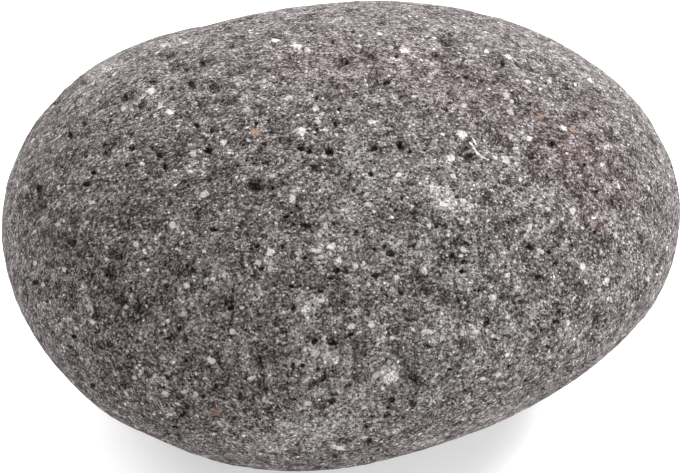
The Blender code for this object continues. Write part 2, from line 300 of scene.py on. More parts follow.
# Rust flecks, in the same way.
RUST = (
    (572.4, 129.8, 3.1, 2.7, 130), (541.6, 116.5, 3.4, 2.6, 110), (594, 225.5, 2.6, 2, 110),
    (216, 413.4, 4.3, 3.4, 75), (204, 264.3, 3.8, 2.8, 75, 90), (256.1, 133, 4.5, 3.8, 160),
)

# White needles: half width in pixels, and the pixels that each passes.
NEEDLES = (
    (1.1, ((468.6, 139.9), (471.6, 144.2), (474.4, 148.6), (478.0, 153.4), (482.8, 157.2), (488.9, 160.6))),
    (1.0, ((472.2, 136.2), (473.6, 139.3), (475.2, 142.8), (476.9, 147.4))),
)

# Larger pits: pixel, half length and half width in pixels, depth in percent of the width, and turn.
PITS = (
    # upper left
    (152.5, 82.5, 4.3, 2.5, 90, 5), (191.7, 84, 4, 2.8, 90, 20), (201.8, 63.5, 4, 2.6, 90, -60),
    (186, 69, 3.5, 2.3, 70, 10), (148.3, 108.5, 3, 2.5, 90, 20), (123.3, 97, 4, 1.5, 90, -50),
    (130, 134, 4.6, 4, 50, 30), (196.7, 125.6, 3.3, 2, 100, 40), (212.2, 130, 3, 2.6, 80),
    (70, 135.5, 4, 2.8, 80, 70), (132.2, 148.3, 3.5, 2.4, 90, 20), (208.3, 150.4, 5, 3.4, 80),
    (159.5, 154.5, 4.6, 3, 80, 20), (165.5, 166.5, 4, 2.8, 80, 80), (126.7, 164.3, 2.6, 2.4, 90),
    (86.1, 155.6, 2, 1.9, 90), (83.9, 82, 3, 2, 70), (103.9, 144, 2.8, 1.9, 80), (39.4, 189, 4, 3, 90, 90),
    (86.7, 183.3, 4.4, 3.8, 70), (94, 172.3, 3, 2.4, 80),
    # top
    (231.7, 44.4, 3, 2.4, 80, 60), (275.6, 45.5, 4, 2.6, 50), (333.3, 41.7, 2.5, 2, 80, 90),
    (345, 58.8, 4, 2.4, 90), (353.3, 31, 3, 2, 70), (370.6, 55.6, 3.4, 2.4, 80),
    (396, 56.2, 2.5, 1.9, 80, 10), (334.8, 87.8, 5.4, 4.2, 50), (344.5, 87, 3.6, 3.2, 50),
    (386.6, 82.3, 4.4, 2.8, 80, -20), (377, 81.8, 2.4, 2, 70, 90), (316, 97.8, 3, 1.9, 60),
    (338.7, 109.4, 1.6, 1.5, 100), (435, 55.6, 4, 2, 75, 10), (443.9, 61.7, 3.4, 2.6, 50),
    (450, 34.4, 2.5, 1.5, 70), (480, 41.7, 4, 2, 50), (503.3, 62.2, 2.5, 2, 90), (518.3, 64, 3, 2, 60),
    (466, 77.2, 3, 2, 80, 20), (480.6, 80.5, 3, 1.9, 90, -20), (449, 94, 3, 1.7, 90, 20),
    (567.2, 87.8, 3, 2.4, 70),
    # above the middle
    (255.4, 124.5, 4, 2.4, 90, -50), (271, 131.2, 2, 1.9, 80), (335, 124.4, 2.5, 2, 80, 90),
    (316.4, 130, 2, 1.5, 100, 90), (301, 148.3, 4, 2.7, 90), (309, 151.3, 3, 2.4, 80),
    (329.6, 151.7, 4.8, 4.2, 90), (374.4, 148, 4.4, 2.9, 80, -10), (399, 144.4, 4, 2.3, 90, 55),
    (410, 151, 2, 1.5, 90), (314.4, 167.2, 5, 3.3, 90), (255.8, 158.3, 1.6, 1.3, 90, 90),
    (377.2, 122.3, 3, 2.4, 70), (272.8, 187.7, 2.5, 2.2, 100, 90), (370.6, 174.4, 3, 2.3, 80),
    (349.4, 175, 2.5, 1.1, 90, -20), (240, 225.6, 4, 2.4, 70, 60), (423.9, 150, 2, 1.5, 90),
    # right
    (497.8, 140.6, 3, 2.3, 70, 10), (531.4, 156.4, 4.2, 3.2, 50, 60), (551.7, 142.8, 4, 2, 80, 10),
    (524.4, 114, 4, 2.8, 50), (489.6, 164, 2.5, 1.9, 40), (584.4, 165, 2.5, 1.9, 70),
    (529.4, 103.3, 2, 1.5, 80), (451.7, 184.4, 5, 2.8, 45), (456.6, 196.6, 2.4, 1.5, 80, 20),
    (436, 225.5, 4, 3.4, 70, 60), (444, 227, 3.6, 3, 70, 90), (452.3, 255.5, 4, 2.8, 100, -30),
    (464.4, 262, 4, 2.7, 80), (461.7, 271.7, 3, 1.8, 100), (474.6, 290.3, 1.4, 1.3, 100),
    (478.4, 290.6, 2.5, 1.1, 100, 90), (531.2, 234.2, 2.4, 1.9, 90, 90), (531.7, 246.8, 4, 3.6, 60),
    (548.9, 252.8, 3.1, 2.8, 90), (571, 246.8, 3.8, 2.8, 55, 90), (546.7, 214.6, 4.8, 3, 60),
    (524.4, 214.4, 4.8, 2.8, 50), (596.7, 191.8, 2.5, 1.9, 80), (586.8, 225, 3.5, 2.8, 55, 90),
    (595.6, 232.3, 2.5, 2.3, 80), (539, 276.8, 3, 2.8, 70), (426.8, 293.3, 4.8, 2.8, 45),
    (534.2, 200.2, 1.6, 1.1, 100), (525, 185.5, 4, 1.9, 50), (557.8, 313.4, 3, 2.8, 40),
    # middle
    (296.7, 205.6, 1.8, 1.2, 100, 20), (285.6, 216.8, 3.5, 1.4, 90, -10), (304, 223.8, 4, 1.2, 90, -10),
    (333.6, 223.2, 2.4, 1.5, 100, 40), (356.7, 231, 1.8, 1.4, 100, 20), (363.3, 236.7, 2, 1.3, 90, -40),
    (282.8, 246.8, 2.5, 1.5, 90, 90), (256.7, 246, 2.5, 2, 90), (250.9, 248.8, 1.3, 1.2, 100),
    (374.2, 249.2, 2, 1.5, 100, 90), (384, 246.9, 2.3, 2.1, 100), (390.4, 253.6, 4.8, 3.8, 80),
    (304.6, 257.4, 3, 1.4, 90), (261.2, 268.4, 5.2, 2.7, 100, 10), (335.8, 270.5, 5, 3.4, 90),
    (345.8, 271.4, 4, 2.7, 50), (330, 277.9, 3, 1.5, 80), (375.2, 275, 4.8, 2.4, 90),
    (290.6, 286, 3, 1.9, 80), (321, 291.4, 2.5, 1.7, 100), (400.6, 292.3, 3.5, 2.3, 80, 60),
    (293.4, 308.2, 3.8, 2.6, 100, -60), (331.6, 293.5, 4, 3, 50), (342, 303.5, 5, 4, 40),
    (232.8, 290.5, 2.3, 1.5, 90, 90), (230.8, 308.3, 4, 2.8, 60), (401.7, 198.4, 2.5, 1.7, 100, 90),
    (395.6, 210, 2, 1.5, 100),
    # left
    (72.5, 242.6, 4.8, 4, 90, -50), (108.8, 275, 5, 2.8, 70), (108.3, 201.2, 1.6, 1.4, 100),
    (110.2, 211.6, 2, 1.3, 100, 90), (214, 229.4, 4, 2.1, 100), (165, 263.4, 3, 1.7, 80, 90),
    (187.2, 265.5, 2, 1.8, 90, 90), (166, 285.5, 3.4, 2.4, 80), (131.6, 290.4, 2, 1.1, 100, 90),
    (35.6, 282.2, 3.4, 2.9, 70), (91, 256, 2.5, 1.5, 80), (44, 206.7, 3.4, 2.8, 60),
    (92.8, 275, 2.5, 2, 70), (120.6, 257.8, 3, 1.4, 80, 90), (139.4, 306.6, 3.8, 1.5, 80, 90),
    (204.4, 287.7, 3.4, 2.8, 60), (187.8, 185, 1.6, 1.4, 90), (46.7, 301, 2, 1.5, 90, 90),
    (130, 214.4, 5, 3.4, 40),
    # lower left
    (73.9, 336.8, 3, 2.4, 100, -20), (168.4, 378.3, 4.4, 2.7, 80, 10), (128.9, 355.6, 4, 3.4, 50),
    (115, 391.2, 2.8, 1.8, 100), (122.8, 386, 3, 1.1, 90), (92.8, 386, 3, 2.4, 70, 90),
    (163.8, 387.8, 1.9, 1.7, 90), (180, 328.2, 3, 1.7, 90, 90), (185.8, 361.4, 1.4, 1.3, 100),
    (175, 427.8, 3, 1.8, 80, 10), (183.3, 384.7, 2, 1.3, 90, 20), (97.2, 332.3, 4, 1.8, 80, -10),
    (181.7, 416, 3, 1.5, 80, 10), (216, 386, 3, 1.9, 80, 90), (203.4, 395.5, 2, 1.5, 90),
    # lower middle and right
    (314.6, 341.1, 3.7, 1.8, 120, -50), (331.8, 342.8, 4.6, 3.5, 90, 20), (351, 334.6, 4.6, 2, 70),
    (365.5, 354, 3, 1.5, 90, 90), (395.4, 352.8, 6, 3.8, 40), (347.8, 386.2, 4, 1.7, 90, -25),
    (331.7, 401.2, 4, 2.9, 90, -10), (391, 400.8, 4.6, 3.4, 70), (388, 408, 2.4, 1.6, 80),
    (387.2, 415.8, 4.4, 3.3, 80, 10), (411.8, 403.4, 3.9, 3, 90), (372.7, 417.2, 3.4, 1.3, 90),
    (366.7, 426, 3, 2.7, 100), (373.6, 430.4, 2, 1.5, 80, 90), (345, 440.4, 7, 2.4, 80, 10),
    (369, 443, 4.8, 2.7, 60), (407.6, 437.3, 3, 1.5, 80, -20), (335.4, 456, 4, 2.3, 70),
    (314.5, 383.5, 3.4, 2.8, 60, 80), (324.4, 377.8, 3, 1.8, 50), (284.4, 332.2, 3.4, 1.5, 70),
    (293.3, 366, 3.4, 1.9, 80, 80), (302.8, 365.6, 2.8, 1.9, 90), (318, 368.4, 2, 1.9, 80),
    (292.8, 399, 3, 1.3, 80), (245, 410.6, 3, 2.8, 60), (265.8, 389.6, 3, 1.9, 70),
    (486.8, 323.2, 3, 2.4, 80), (495.2, 340, 2, 1.2, 90), (428, 347, 5, 3.4, 40), (446, 354.6, 4, 3.4, 40),
    (449.6, 369.5, 2.5, 1.5, 90), (464.4, 390.5, 2.1, 1.9, 90), (542.8, 389.6, 2.3, 2, 90),
    (548.3, 347, 3, 2.4, 70), (555.5, 322, 3, 2.4, 70), (531, 331.4, 3.4, 1.9, 60, 90),
    (541, 330, 3, 1.5, 60, 90), (509, 366.2, 2.5, 1.5, 80),
)

# Pale clouds, where many fine crystals lie together: pixel, radius in pixels, and percent.
CLOUDS = (
    (106, 68, 11, 90), (80, 96, 10, 50), (165, 45, 11, 40), (190, 43, 8, 40), (240, 69, 12, 30),
    (300, 46, 9, 40), (406, 52, 8, 40), (470, 25, 9, 40), (165, 110, 8, 40), (110, 152, 8, 30),
    (193, 166, 9, 60), (173, 228, 8, 90), (140, 254, 9, 60), (90, 205, 9, 40), (86, 304, 10, 60),
    (188, 300, 9, 70), (205, 318, 10, 50), (170, 375, 12, 50), (62, 322, 10, 30), (250, 290, 8, 30),
    (275, 165, 9, 40), (290, 190, 8, 30), (300, 130, 8, 30), (355, 206, 9, 40), (270, 253, 8, 40),
    (320, 254, 7, 60), (308, 306, 9, 150), (320, 350, 14, 40), (390, 374, 8, 320), (385, 326, 11, 40),
    (431, 187, 8, 170), (453, 199, 11, 120), (464, 135, 9, 40), (505, 160, 8, 40), (530, 140, 8, 40),
    (510, 95, 8, 50), (590, 80, 8, 40), (549, 192, 9, 70), (530, 225, 9, 50), (613, 222, 8, 60),
    (490, 252, 8, 40), (515, 271, 9, 50), (440, 330, 13, 60), (468, 331, 8, 40), (520, 345, 11, 40),
    (630, 310, 10, 40), (500, 415, 12, 50), (435, 400, 10, 40), (422, 445, 8, 70), (370, 425, 12, 50),
    (330, 426, 12, 40), (290, 430, 15, 50), (258, 449, 12, 40),
)

# Zones that are darker than the rest (+) or paler (-), in the same way, first the broad ones.
DARK = (
    (390, 180, 50, -50), (365, 265, 40, -35), (375, 390, 60, -40), (530, 90, 50, 30), (570, 150, 45, 25),
    (575, 255, 35, 30), (460, 18, 30, 50), (130, 370, 45, 45), (180, 205, 40, 30), (150, 250, 60, 15),
    (520, 195, 30, -30), (350, 112, 25, 20), (240, 112, 25, 20), (185, 425, 25, 20), (130, 72, 25, -30),
    (290, 425, 30, -50), (350, 385, 25, -40), (405, 160, 25, -30), (520, 380, 30, -25), (460, 65, 25, -30),
    (522, 325, 40, -20), (345, 237, 14, -40), (240, 395, 25, 30), (405, 322, 28, 35), (515, 285, 25, 30),
    (75, 165, 30, 30), (75, 245, 25, 25), (460, 130, 30, 20), (197, 68, 10, 60), (290, 68, 12, 40),
    (335, 88, 8, 35), (380, 74, 9, 70), (440, 55, 8, 50), (470, 72, 9, 50), (65, 130, 9, 50),
    (112, 92, 10, 30), (228, 115, 9, 50), (486, 120, 11, 50), (303, 147, 9, 60), (319, 160, 9, 40),
    (160, 158, 8, 90), (156, 178, 8, 60), (208, 150, 7, 40), (415, 145, 13, 50), (550, 142, 8, 60),
    (531, 157, 8, 20), (255, 190, 9, 80), (37, 203, 11, 80), (293, 220, 9, 60), (400, 212, 12, 70),
    (120, 215, 10, 40), (73, 243, 7, 70), (97, 265, 12, 40), (440, 234, 7, 90), (450, 250, 7, 80),
    (461, 263, 8, 60), (585, 235, 9, 90), (500, 234, 9, 40), (250, 250, 9, 40), (305, 262, 7, 60),
    (337, 274, 9, 120), (341, 303, 9, 100), (270, 310, 8, 50), (425, 290, 9, 70), (580, 290, 9, 60),
    (560, 315, 8, 60), (230, 308, 9, 60), (125, 320, 9, 40), (135, 355, 9, 40), (352, 342, 9, 60),
    (372, 346, 9, 40), (395, 350, 8, 60), (275, 378, 9, 70), (322, 380, 8, 80), (386, 403, 9, 70),
    (411, 394, 9, 50), (245, 410, 10, 50), (420, 348, 7, 40), (470, 346, 9, 40), (495, 195, 8, 50),
    (352, 452, 11, 50), (180, 445, 10, 40),
)

# Zones that are redder than the rest (+) or less red (-), in the same way.
WARM = (
    (40, 135, 20, 40), (80, 100, 18, 40), (111, 250, 13, 70), (250, 180, 13, 40), (278, 135, 10, 40),
    (300, 60, 45, 40), (400, 60, 50, 40), (480, 100, 45, 40), (541, 116, 8, 90), (571, 132, 8, 110),
    (560, 150, 28, 60), (600, 160, 28, 50), (590, 215, 10, 80), (615, 195, 18, 40), (590, 105, 16, 50),
    (670, 245, 14, 40), (600, 308, 8, 50), (326, 262, 8, 50), (296, 282, 7, 60), (279, 307, 9, 40),
    (350, 346, 12, 50), (300, 363, 12, 60), (168, 362, 9, 30), (215, 411, 6, 90), (373, 390, 9, 30),
    (360, 170, 25, -30), (432, 235, 25, -30), (470, 265, 25, -30), (500, 320, 35, -30),
    (430, 380, 25, -30), (330, 445, 40, -20), (180, 435, 30, -20),
)

# ---------------- the skin's mesh

SPOT_SEED = 12
DIMPLE_SEED = 14
POLE = (0.0, 0.0, -1.0)  # the flat map has no end here, so a small ring around it is one face
POLE_RADIUS = 0.25 * MM
POLE_CORNERS = 6
POLE_MARGIN = 3  # other points stay this many of its radii away

# The points where nothing else is. Their shift at random, and what they keep clear around an
# outline, are shares of the distance between them.
BASE_COUNT = 58000
BASE_SHIFT = 0.30
BASE_MARGIN = 0.45
AREA_ALLOWANCE = 1.1  # the stone's area over that of a ball of its volume, rounded up
ROOM = 1.15  # an outline has to fit in when it is this much larger
ROOM_OF_OTHER = 1.1
NEARBY = 1.2  # outlines within this multiple of an outline's radius are looked at

GRIT = ((0.040 * MM, 0.90 * MM), (0.026 * MM, 0.42 * MM))
DIMPLE_COUNT = 1500
DIMPLE_SIZES = (0.35 * MM, 1.1 * MM, 2)
DIMPLE_DEPTHS = (0.2, 0.45)
DIMPLE_REACH = 2
DIMPLE_FALL = 1.5
# Painted shade in the deepest dimple; shallower ones get less.
DIMPLE_PAINTED_SHADE = 0.65

WHITE = (0.52, 0.485, 0.48)
RUSTY = (0.19, 0.12, 0.09)
CRYSTAL_RISE = 0.025 * MM
RIM_COVER = 0.28  # low enough that two crystals side by side don't run together
RIM_GROWTH = 1.15  # the outline is this much larger than the crystal shows
RIM_MARGIN = 0.45  # and this many pixels
LEAST_SHADE = 0.35
NEEDLE_SHADE = 1.2
NEEDLE_TIP = 0.4
CORNER_SHIFT = (-0.3, 0.3)
CORNER_REACH = (0.85, 1.15)
PIT_MARGIN = 0.4
# Painted shade of the listed pits, scaled by the square of their depth.
SEEN_PIT_PAINTED_SHADE = 1.3
SIZES_TRIED = (1.0, 0.8, 0.6)
LEAST_FACING = 0.1

# Crystals in clouds: how many for each pixel of radius, how far out, and half length in pixels: the
# least, how much more at most, and a power. It is then shrunk, and the width is a share of it.
CLOUD_CRYSTALS = 1.5
CLOUD_SPREAD = 0.8
CLOUD_SIZES = (0.7, 1.5, 2)
CLOUD_SHRINKING = 0.85
CLOUD_THINNESS = (0.5, 1.0)
CLOUD_SHADES = (0.1, 0.8)

# Spots at random, first on the side turned away: how many, sizes for scattered(), and stretches.
# Painted shade in the pits on the side turned away: least and most.
BACK_PIT_PAINTED_SHADES = (0.3, 1.1)
BACK_CRYSTALS = (240, (0.16 * MM, 0.44 * MM, 1.6), (1, 2.2))
BACK_CRYSTAL_SHADES = (0.65, 1.05)
RUST_EVERY = 40  # one of them in this many is a rust fleck
FEW_CRYSTALS = (1100, (0.09 * MM, 0.24 * MM, 2.2), (1, 2.2))
FEW_CRYSTAL_REACH = (0.8, 1.4)
FEW_CRYSTAL_SHADES = (0.3, 0.7)
MESH_PORES = (3800, (0.09 * MM, 0.21 * MM, 1.8), (1, 1.9))
PORE_DEPTHS = (0.7, 1.2)

# Corners of an outline: how many from this radius on, or in the first two this half length in pixels.
CRYSTAL_CORNERS = ((4, 9), (2, 7), (1.3, 6), (0, 5))
SEEN_PIT_CORNERS = ((3.5, 12), (0, 9))
BACK_CRYSTAL_CORNERS = 9
FEW_CRYSTAL_CORNERS = ((0.2 * MM, 7), (0, 5))
PIT_CORNERS = ((0.3 * MM, 12), (0.19 * MM, 9), (0, 6))
OVAL, THREE_SIDED = 0.20, 0.15
RAGGEDNESS = (0.92, 1.08)

# Rings of points in a pit: first corner and step along the rim's corners, radius as a share of the
# rim's, depth as a share of the pit's, and painted shade. A pore has one for 9 corners and both for 12.
PIT_RINGS = ((0, 1, 0.72, 0.7, 0.85), (0, 2, 0.36, 1.0, 1.0))
PORE_RINGS = ((0, 2, 0.70, 0.7, 0.30), (1, 3, 0.35, 1.0, 0.35))
MIDDLE_DEPTH = 1.04
# Painted shade at a pit's rim, and in the middle of a pore with rings and of one without.
PIT_RIM_PAINTED_SHADE = 0.1
PORE_PAINTED_SHADE = 0.4
SMALL_PORE_PAINTED_SHADE = 0.8


def tangents(u, turn=0.0):
    """Two unit vectors along the surface at u, the first turned by an angle."""
    normal = Vector(outward(u))
    side = normal.orthogonal().normalized()
    along = side * math.cos(turn) + normal.cross(side) * math.sin(turn)
    return np.array(along), np.array(normal.cross(along))


def outline(u, radii, stretch=1.0, turn=0.0):
    """Directions around u at these radii, evenly turned."""
    along, across = tangents(u, turn)
    angles = 2 * math.pi * np.arange(len(radii)) / len(radii)
    x = radii * np.cos(angles) * math.sqrt(stretch)
    y = radii * np.sin(angles) / math.sqrt(stretch)
    return unit((u * HALF_AXES + x[:, None] * along + y[:, None] * across) / HALF_AXES)


def grown(u, rim, reach):
    """A rim around u made larger or smaller."""
    return unit(u + (rim - u) * reach)


def flattened(u):
    """The directions' places on a flat map of the stone, seen from opposite the foot."""
    return u[..., :2] / (1 + u[..., 2:])


def is_inside(place, ring):
    """Whether a place on the flat map is inside a ring of places."""
    after = np.roll(ring, -1, 0)
    spans = (ring[:, 1] > place[1]) != (after[:, 1] > place[1])
    a, b = ring[spans], after[spans]
    cut = a[:, 0] + (place[1] - a[:, 1]) * (b[:, 0] - a[:, 0]) / (b[:, 1] - a[:, 1])
    return (cut > place[0]).sum() % 2 == 1


def do_cross(ring_a, i, ring_b, j):
    return geometry.intersect_line_line_2d(ring_a[i - 1], ring_a[i], ring_b[j - 1], ring_b[j])


def do_overlap(ring_a, ring_b):
    """Whether two rings of places on the flat map overlap."""
    if is_inside(ring_a[0], ring_b) or is_inside(ring_b[0], ring_a):
        return True
    return any(do_cross(ring_a, i, ring_b, j) for i in range(len(ring_a)) for j in range(len(ring_b)))


def does_cross_itself(ring):
    """Whether two sides of a ring of places that aren't neighbours cross."""
    count = len(ring)
    return any(do_cross(ring, i, ring, j) for i in range(count) for j in range(i + 2, count - (i == 0)))


def corners_for(reach, choices):
    """How many corners suit an outline of this reach."""
    return next(corners for least, corners in choices if reach > least)


def random_radii(draw, count, limits):
    return np.array([draw.uniform(*limits) for _ in range(count)])


def pit_rim(u, radius, stretch, turn, draw):
    """The uneven outline of a pit."""
    count = corners_for(radius, PIT_CORNERS)
    angles = 2 * math.pi * np.arange(count) / count
    oval, three_sided = draw.uniform(0, 2 * math.pi), draw.uniform(0, 2 * math.pi)
    radii = 1 + OVAL * np.cos(2 * angles + oval) + THREE_SIDED * np.cos(3 * angles + three_sided)
    return outline(u, radius * (radii * random_radii(draw, count, RAGGEDNESS)), stretch, turn)


def few_crystal_rim(u, radius, stretch, turn, draw):
    count = corners_for(radius, FEW_CRYSTAL_CORNERS)
    return outline(u, radius * random_radii(draw, count, FEW_CRYSTAL_REACH), stretch, turn)


def back_crystal_rim(u, radius, stretch, turn, draw):
    return outline(u, radius * random_radii(draw, BACK_CRYSTAL_CORNERS, CORNER_REACH), stretch, turn)


class Skin:
    """The points of the skin, with what each is part of, and the edges that the triangles keep."""

    def __init__(self):
        self.points, self.edges, self.colours = [], [], []
        self.middles, self.radii, self.rims = [], [], []
        pole_rim = outline(np.array(POLE), np.full(POLE_CORNERS, POLE_RADIUS))
        self.pole_ring = list(self.add(pole_rim))
        self.take(np.array(POLE), pole_rim)

    def add(self, directions, depth=0.0, pit=0.0, patch=-1):
        first = len(self.points)
        self.points.extend((u, depth, pit, patch) for u in directions)
        return range(first, len(self.points))

    def keep_loop(self, ids):
        ids = list(ids)
        self.edges.extend(zip(ids, ids[1:] + ids[:1]))

    def is_clear(self, u, radius, rim):
        """Whether an outline of this radius is well away from all others."""
        gaps = np.linalg.norm(np.array(self.middles) - u * HALF_AXES, axis=1)
        apart = (gaps > ROOM * radius + ROOM_OF_OTHER * np.array(self.radii)).all()
        return bool(apart) and self.has_room(u, rim)

    def has_room(self, u, rim):
        """Whether this outline overlaps no other, with a little to spare."""
        if does_cross_itself(flattened(rim)):
            return False
        middle = u * HALF_AXES
        radius = np.linalg.norm(rim * HALF_AXES - middle, axis=1).max()
        gaps = np.linalg.norm(np.array(self.middles) - middle, axis=1)
        ring = flattened(grown(u, rim, ROOM))
        near = np.flatnonzero(gaps < NEARBY * radius + np.array(self.radii))
        return not any(do_overlap(ring, flattened(self.rims[i][1])) for i in near)

    def take(self, u, rim):
        """Notes that this outline's inside is taken."""
        middle = u * HALF_AXES
        self.middles.append(middle)
        self.radii.append(np.linalg.norm(rim * HALF_AXES - middle, axis=1).max())
        self.rims.append((u, rim))

    def add_bowl(self, u, rim, depth, rings, shade, rim_darkness, middle_darkness):
        """A bowl with this rim and about this depth in the middle. Its points carry painted shade, stronger
        inside than at the rim.
        """
        self.take(u, rim)
        self.keep_loop(self.add(rim, 0.0, rim_darkness * shade))
        for first, step, reach, share, darkness in rings:
            self.add(grown(u, rim[first::step], reach), depth * share, darkness * shade)
        self.add([u], depth * MIDDLE_DEPTH, middle_darkness * shade)

    def add_pit(self, u, rim, depth, shade):
        self.add_bowl(u, rim, depth, PIT_RINGS, shade, PIT_RIM_PAINTED_SHADE, 1.0)

    def add_pore(self, u, rim, depth):
        rings = PORE_RINGS[: len(rim) // 3 - 2]
        self.add_bowl(u, rim, depth, rings, 1.0, 0.0, PORE_PAINTED_SHADE if rings else SMALL_PORE_PAINTED_SHADE)

    def add_crystal(self, u, rim, shade, middles=None, colour=WHITE):
        """A crystal whose cover rises from its rim to its middle, where it lies highest."""
        patch = len(self.colours)
        colour = [c * shade for c in colour]
        self.colours.append((*colour, RIM_COVER))
        self.colours.append((*colour, 1.0))
        self.take(u, rim)
        self.keep_loop(self.add(rim, -CRYSTAL_RISE / 2, 0.0, patch))
        self.add([u] if middles is None else middles, -CRYSTAL_RISE, 0.0, patch + 1)


def spot_seen(x, y, long, short, turn, draw, corners):
    """The outline on the stone of a cornered spot at this pixel, and a point inside it."""
    turn = math.radians(turn)
    start = draw.uniform(0, 1)
    places = []
    for step in range(corners):
        angle = 2 * math.pi * (step + start + draw.uniform(*CORNER_SHIFT)) / corners
        reach = draw.uniform(*CORNER_REACH)
        places.append((long * reach * math.cos(angle), short * reach * math.sin(angle)))
    places.append((long * draw.uniform(*CORNER_SHIFT), short * draw.uniform(*CORNER_SHIFT)))
    found = []
    for a, b in places:
        dx = a * math.cos(turn) - b * math.sin(turn)
        dy = a * math.sin(turn) + b * math.cos(turn)
        found.append(seen(x + dx, y + dy))
    return seen(x, y), np.array(found[:-1]), found[-1:]


def needle_seen(half_width, path):
    """The outline on the stone of a needle along these pixels, and the points along its middle."""
    path = np.array(path)
    along = unit(np.gradient(path, axis=0))
    across = np.stack([-along[:, 1], along[:, 0]], 1) * half_width
    across[[0, -1]] *= NEEDLE_TIP
    rim = np.concatenate([path + across, (path - across)[::-1]])
    middle = path[len(path) // 2]
    return seen(*middle), np.array([seen(*spot) for spot in rim]), [seen(*spot) for spot in path[1:-1]]


def does_face(rim):
    """Whether an outline is all on the side that is seen, and not at its very edge."""
    return (outward(rim) @ np.array(BACK)).min() > LEAST_FACING


def is_hidden(u):
    """Whether this place is on the side turned away from the camera, or at the very edge of that."""
    return outward(u) @ np.array(BACK) < LEAST_FACING


def place_crystal(skin, draw, colour, x, y, long, short, shade, turn=0):
    """A crystal at this pixel, smaller if it has no room."""
    for size in SIZES_TRIED:
        corners = corners_for(long * size, CRYSTAL_CORNERS)
        growth = size * RIM_GROWTH
        spot = (long * growth + RIM_MARGIN, short * growth + RIM_MARGIN)
        u, rim, middle = spot_seen(x, y, *spot, turn, draw, corners)
        if does_face(rim) and skin.has_room(u, rim):
            skin.add_crystal(u, rim, LEAST_SHADE + (1 - LEAST_SHADE) * shade, middle, colour)
            return


def place_pit(skin, draw, x, y, long, short, depth, turn=0):
    """A pit at this pixel, smaller if it has no room."""
    for size in SIZES_TRIED:
        reach, width = long * size + PIT_MARGIN, short * size + PIT_MARGIN
        corners = corners_for(reach, SEEN_PIT_CORNERS)
        u, rim, _ = spot_seen(x, y, reach, width, turn, draw, corners)
        if does_face(rim) and skin.has_room(u, rim):
            # The deeper the pit, the stronger its painted shade.
            skin.add_pit(u, rim, depth * width * PIXEL, SEEN_PIT_PAINTED_SHADE * depth**2)
            return


def add_seen_spots(skin, draw):
    """The needles, crystals, rust flecks and pits that the photograph shows."""
    for half_width, path in NEEDLES:
        u, rim, middles = needle_seen(half_width, path)
        skin.add_crystal(u, rim, NEEDLE_SHADE, middles)
    for colour, spots in ((WHITE, CRYSTALS), (RUSTY, RUST)):
        for x, y, long, short, shade, *turn in spots:
            place_crystal(skin, draw, colour, x, y, long, short, shade / 100, *turn)
    for x, y, long, short, depth, *turn in PITS:
        place_pit(skin, draw, x, y, long, short, depth / 100, *turn)


def add_clouds(skin, draw):
    least, more, power = CLOUD_SIZES
    for x, y, spread, percent in CLOUDS:
        for _ in range(round(CLOUD_CRYSTALS * (percent / 100) * spread)):
            long = least + more * draw.random() ** power
            place = (x + draw.gauss(0, spread * CLOUD_SPREAD), y + draw.gauss(0, spread * CLOUD_SPREAD))
            turn, thin = draw.uniform(0, 180), draw.uniform(*CLOUD_THINNESS)
            size = (long * CLOUD_SHRINKING, long * thin * CLOUD_SHRINKING)
            place_crystal(skin, draw, WHITE, *place, *size, draw.uniform(*CLOUD_SHADES), turn)


def scattered(draw, sizes):
    """A direction and a radius at random. The higher the power, the more of the radii are small."""
    u = unit(np.array([draw.gauss(0, 1) / axis for axis in HALF_AXES]))
    small, large, power = sizes
    return u, small + (large - small) * draw.random() ** power


def solid_pits():
    """Pits scattered as the solid's are, but without its main pits, which push away a few of them.

    Gives the direction, radius, depth, stretch and turn of each.
    """
    draw = random.Random(SEED)
    pits = []
    while len(pits) < PIT_COUNT:
        u, radius = scattered(draw, PIT_SIZES)
        depth = radius * draw.uniform(*PIT_DEPTHS)
        stretch, turn = draw.uniform(*PIT_STRETCH), draw.uniform(0, math.pi)
        clearance = PIT_CLEARANCE * math.sqrt(stretch) * radius
        apart = all(
            np.linalg.norm((u - other[0]) * HALF_AXES)
            > clearance + PIT_CLEARANCE * math.sqrt(other[3]) * other[1]
            for other in pits
        )
        if apart and body_points(u[None])[0, 2] > FOOT + FOOT_EDGE_RISE * 2 * clearance:
            pits.append((u, radius, depth, stretch, turn))
    return pits


def clear_places(skin, draw, count, sizes, stretches, rim_at, only_hidden=False):
    """Finds this many places at random where there is room: number, direction, radius and outline."""
    made = 0
    while made < count:
        u, radius = scattered(draw, sizes)
        stretch, turn = draw.uniform(*stretches), draw.uniform(0, math.pi)
        rim = rim_at(u, radius, stretch, turn, draw)
        is_wanted = is_hidden(u) or not only_hidden
        if is_wanted and skin.is_clear(u, radius * math.sqrt(stretch), rim):
            yield made, u, radius, rim
            made += 1


def add_random_spots(skin, draw):
    """Pits and crystals on the side turned away, and then small crystals and pores all over."""
    for u, radius, depth, stretch, turn in solid_pits():
        rim = pit_rim(u, radius, stretch, turn, draw)
        if is_hidden(u) and skin.is_clear(u, radius * math.sqrt(stretch), rim):
            skin.add_pit(u, rim, depth, draw.uniform(*BACK_PIT_PAINTED_SHADES))

    places = clear_places(skin, draw, *BACK_CRYSTALS, back_crystal_rim, only_hidden=True)
    for number, u, _, rim in places:
        colour = RUSTY if (number + 1) % RUST_EVERY == 0 else WHITE
        skin.add_crystal(u, rim, draw.uniform(*BACK_CRYSTAL_SHADES), colour=colour)
    for _, u, _, rim in clear_places(skin, draw, *FEW_CRYSTALS, few_crystal_rim):
        skin.add_crystal(u, rim, draw.uniform(*FEW_CRYSTAL_SHADES))
    for _, u, radius, rim in clear_places(skin, draw, *MESH_PORES, pit_rim):
        skin.add_pore(u, rim, radius * draw.uniform(*PORE_DEPTHS))


def tree_of(places):
    """A tree in which the places near another are quickly found."""
    tree = kdtree.KDTree(len(places))
    for i, place in enumerate(places):
        tree.insert(place, i)
    tree.balance()
    return tree


